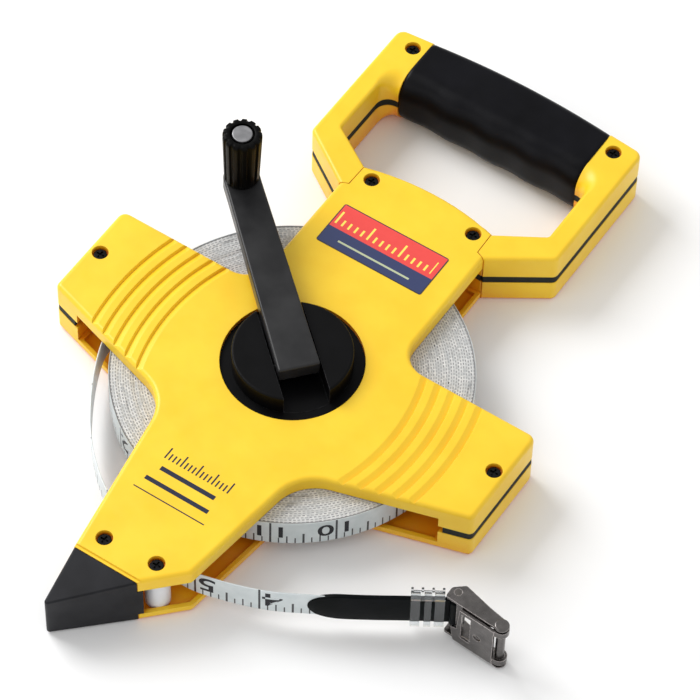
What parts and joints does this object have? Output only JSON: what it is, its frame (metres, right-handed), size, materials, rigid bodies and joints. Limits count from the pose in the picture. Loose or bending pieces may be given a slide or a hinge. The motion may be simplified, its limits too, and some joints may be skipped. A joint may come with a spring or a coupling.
{
  "type": "surveyor tape reel",
  "caption": "Open-frame surveyor's tape reel: a flat cross-shaped case with a D handle, a drum of measuring tape wound by a folding crank, a mouth with a roller and a hinged end hook.",
  "frame": {"origin": "centre of the case's footprint, at the flat back face that it lies on, with the free tape and its hook left out", "axes": "+Y from the pointed nose to the handle, +Z from the back face to the crank, +X to the side on which the tape leaves"},
  "size_m": [0.2323, 0.3096, 0.07],
  "materials": {
    "yellow_plastic": "satin",
    "black_plastic": "fine texture",
    "black_rubber": "matte",
    "seal_rubber": "matte",
    "crank_plastic": "satin",
    "hub_plastic": "satin",
    "white_nylon": "smooth",
    "tape_fibreglass": "coated",
    "tape_edge": "layered edge",
    "black_vinyl": "soft",
    "clear_plastic": "clear",
    "nickel_steel": "bright nickel",
    "black_screw": "blackened",
    "steel_pin": "turned",
    "label_print": "printed film"
  },
  "bodies": {
    "case": {"front_shell": "yellow_plastic", "back_shell": "yellow_plastic", "left_arm_seal": "seal_rubber", "right_arm_seal": "seal_rubber", "upper_arm_seal": "seal_rubber", "crown_seal": "seal_rubber", "handle_front_shell": "yellow_plastic", "handle_back_shell": "yellow_plastic", "handle_seam_gasket": "seal_rubber", "handle_grip": "black_rubber", "nose": "black_plastic", "front_label": "label_print", "case_screws": "black_screw", "handle_screws": "black_screw", "tape_lead": "tape_fibreglass", "tape_end_sleeve": "black_vinyl", "tape_keeper": "clear_plastic"},
    "roller": {"mouth_roller": "white_nylon"},
    "drum": {"drum_core": "hub_plastic", "tape_anchor_pin": "steel_pin", "tape_roll": "tape_edge", "rear_hub": "hub_plastic", "hub_screws": "black_screw", "front_hub": "hub_plastic", "crank_hinge_pin": "steel_pin"},
    "crank": {"crank_arm": "crank_plastic", "knob_pin": "steel_pin"},
    "knob": {"knob_sleeve": "crank_plastic"},
    "hook": {"hook_frame": "nickel_steel", "tape_loop_pin": "nickel_steel", "hook_pin": "nickel_steel"},
    "claw": {"hook_claw": "nickel_steel"}
  },
  "joints": [
    {"name": "drum_spin", "type": "hinge", "parent": "case", "child": "drum", "pos_m": [0, -0.0138, 0.0133], "axis": [0, 0, 1], "continuous": true},
    {"name": "crank_fold", "type": "hinge", "parent": "drum", "child": "crank", "pos_m": [0.00412, -0.01744, 0.0319], "axis": [0.6626, 0.749, 0], "range_deg": [0, 176]},
    {"name": "knob_spin", "type": "hinge", "parent": "crank", "child": "knob", "pos_m": [-0.0617, 0.04079, 0.03651], "axis": [0.0392, -0.0347, 0.9986], "continuous": true},
    {"name": "mouth_roller_spin", "type": "hinge", "parent": "case", "child": "roller", "pos_m": [0.0108, -0.12, 0.0133], "axis": [0, 0, 1], "continuous": true},
    {"name": "hook_swing", "type": "hinge", "parent": "case", "child": "hook", "pos_m": [0.1104, -0.0664, 0.0133], "axis": [0, 0, 1], "range_deg": [-35, 60]},
    {"name": "claw_swing", "type": "hinge", "parent": "hook", "child": "claw", "pos_m": [0.1318, -0.0698, 0.0133], "axis": [0, 0, 1], "range_deg": [0, 165]}
  ]
}
